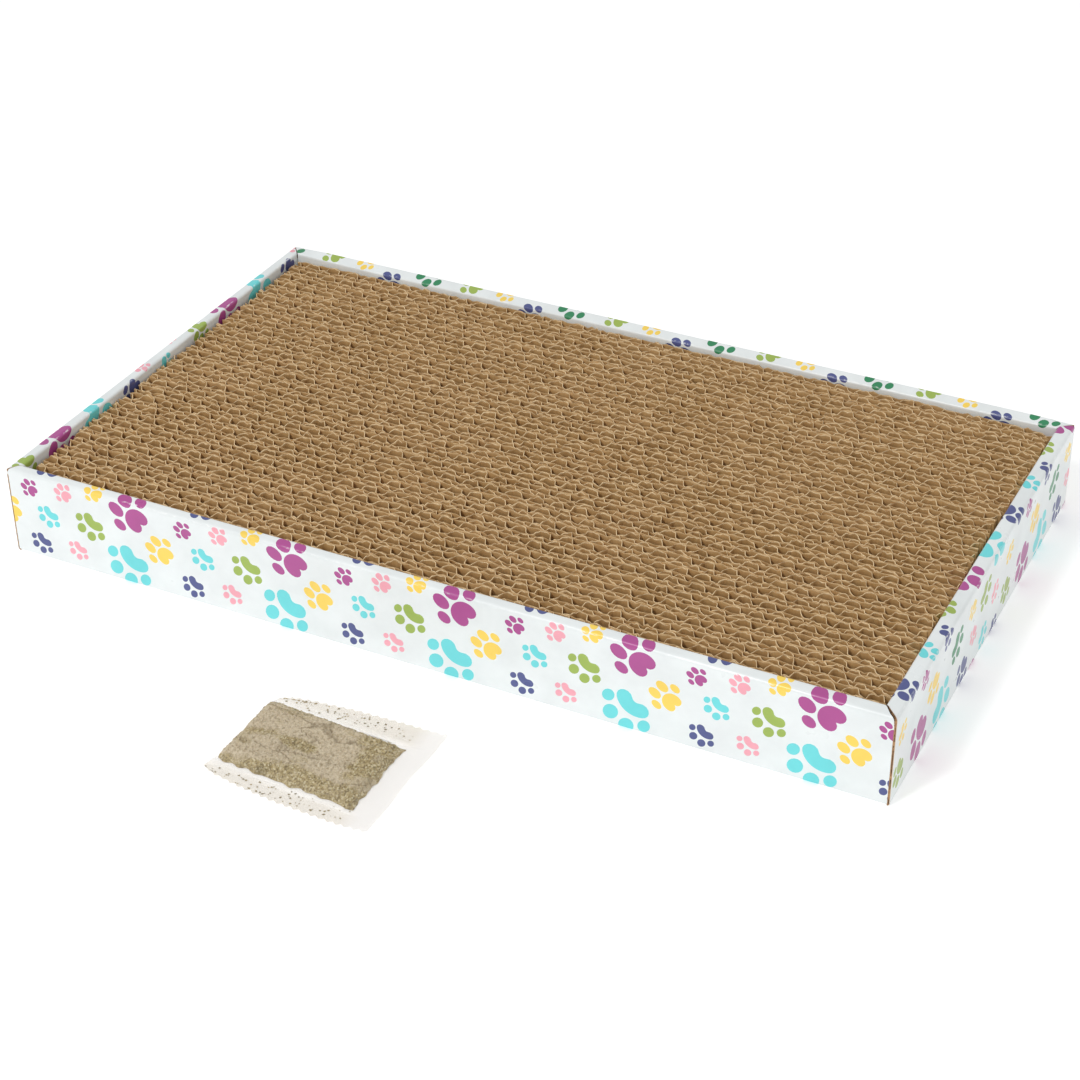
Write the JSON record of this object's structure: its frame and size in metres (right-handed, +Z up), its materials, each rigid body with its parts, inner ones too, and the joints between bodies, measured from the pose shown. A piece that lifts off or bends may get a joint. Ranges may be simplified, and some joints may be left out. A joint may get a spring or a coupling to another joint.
{
  "type": "cardboard cat scratcher",
  "caption": "Low printed board tray with rolled-over double walls holding a lift-out scratching pad of corrugated strips on edge, with a loose sachet of dried herb.",
  "frame": {"origin": "middle of the tray's underside, on the surface that it stands on", "axes": "+X along the long walls, to the right as the picture shows it; +Y from the front wall to the rear wall; +Z up out of the tray"},
  "size_m": [0.345, 0.2883, 0.036],
  "materials": {
    "printed_board": "satin",
    "kraft_board": "matte",
    "clear_film": "gloss",
    "dried_herb": "matte"
  },
  "bodies": {
    "tray": {"tray_base": "printed_board", "front_wall_outer": "printed_board", "front_wall_rim": "printed_board", "front_wall_inner": "printed_board", "rear_wall_outer": "printed_board", "rear_wall_rim": "printed_board", "rear_wall_inner": "printed_board", "left_wall_outer": "printed_board", "left_wall_rim": "printed_board", "left_wall_inner": "printed_board", "right_wall_outer": "printed_board", "right_wall_rim": "printed_board", "right_wall_inner": "printed_board", "corner_flap_front_left": "printed_board", "corner_flap_front_right": "printed_board", "corner_flap_rear_left": "printed_board", "corner_flap_rear_right": "printed_board"},
    "pad": {"pad_strip_01": "kraft_board", "pad_strip_02": "kraft_board", "pad_strip_03": "kraft_board", "pad_strip_04": "kraft_board", "pad_strip_05": "kraft_board", "pad_strip_06": "kraft_board", "pad_strip_07": "kraft_board", "pad_strip_08": "kraft_board", "pad_strip_09": "kraft_board", "pad_strip_10": "kraft_board", "pad_strip_11": "kraft_board", "pad_strip_12": "kraft_board", "pad_strip_13": "kraft_board", "pad_strip_14": "kraft_board", "pad_strip_15": "kraft_board", "pad_strip_16": "kraft_board", "pad_strip_17": "kraft_board", "pad_strip_18": "kraft_board", "pad_strip_19": "kraft_board", "pad_strip_20": "kraft_board", "pad_strip_21": "kraft_board", "pad_strip_22": "kraft_board", "pad_strip_23": "kraft_board", "pad_strip_24": "kraft_board", "pad_strip_25": "kraft_board", "pad_strip_26": "kraft_board", "pad_strip_27": "kraft_board", "pad_strip_28": "kraft_board", "pad_strip_29": "kraft_board"},
    "sachet": {"sachet_film_lower": "clear_film", "sachet_film_upper": "clear_film", "sachet_herb": "dried_herb"}
  },
  "joints": [
    {"name": "pad_lift", "type": "slide", "parent": "tray", "child": "pad", "axis": [0, 0, 1], "range_m": [0, 0.06]},
    {"name": "sachet_lift", "type": "slide", "parent": "tray", "child": "sachet", "axis": [0, 0, 1], "range_m": [0, 0.06]}
  ]
}
